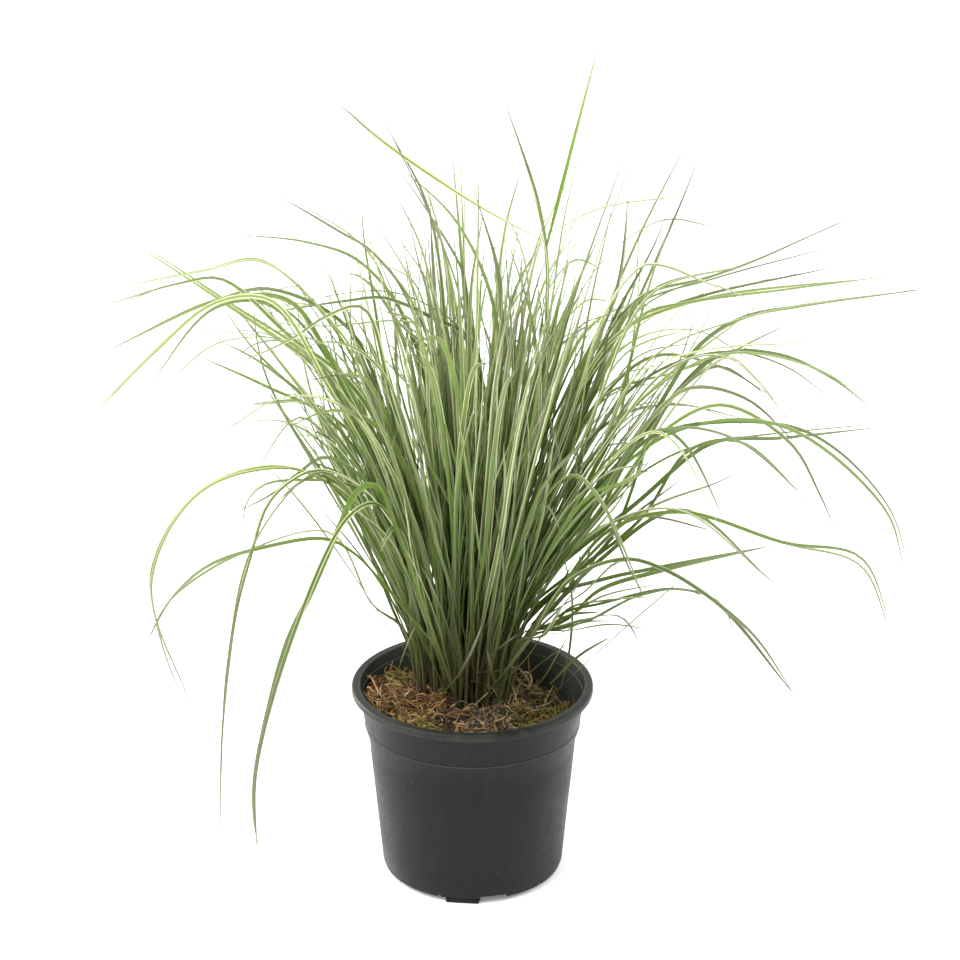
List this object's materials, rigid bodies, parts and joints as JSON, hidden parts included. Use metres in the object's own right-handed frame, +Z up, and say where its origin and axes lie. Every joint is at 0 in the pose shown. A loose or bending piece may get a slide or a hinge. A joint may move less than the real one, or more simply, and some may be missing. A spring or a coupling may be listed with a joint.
{
  "type": "potted ornamental grass clump",
  "caption": "Clump of arching variegated grass shoots growing from soil in a round, tapered nursery pot with a flared collar and a rolled rim.",
  "frame": {"origin": "on the ground under the pot, at the middle of the whole plant seen from above", "axes": "+Z up, -Y to the front as pictured, +X to the plant's right as pictured"},
  "size_m": [0.6443, 0.5405, 0.6705],
  "materials": {
    "pot_plastic": "matte",
    "soil": "rough, fibrous",
    "leaf": "satin"
  },
  "bodies": {
    "root": {"pot": "pot_plastic", "soil": "soil", "shoot_01": "leaf", "shoot_02": "leaf", "shoot_03": "leaf", "shoot_04": "leaf", "shoot_05": "leaf", "shoot_06": "leaf", "shoot_07": "leaf", "shoot_08": "leaf", "shoot_09": "leaf", "shoot_10": "leaf", "shoot_11": "leaf", "shoot_12": "leaf", "shoot_13": "leaf", "shoot_14": "leaf", "shoot_15": "leaf", "shoot_16": "leaf", "shoot_17": "leaf", "shoot_18": "leaf", "shoot_19": "leaf", "shoot_20": "leaf", "shoot_21": "leaf", "shoot_22": "leaf", "shoot_23": "leaf", "shoot_24": "leaf", "shoot_25": "leaf", "shoot_26": "leaf", "shoot_27": "leaf", "shoot_28": "leaf", "shoot_29": "leaf", "shoot_30": "leaf", "shoot_31": "leaf", "shoot_32": "leaf", "shoot_33": "leaf", "shoot_34": "leaf", "shoot_35": "leaf", "shoot_36": "leaf", "shoot_37": "leaf", "shoot_38": "leaf", "shoot_39": "leaf", "shoot_40": "leaf", "shoot_41": "leaf", "shoot_42": "leaf", "shoot_43": "leaf", "shoot_44": "leaf", "shoot_45": "leaf", "shoot_46": "leaf", "shoot_47": "leaf", "shoot_48": "leaf", "shoot_49": "leaf", "shoot_50": "leaf", "shoot_51": "leaf"}
  },
  "joints": []
}
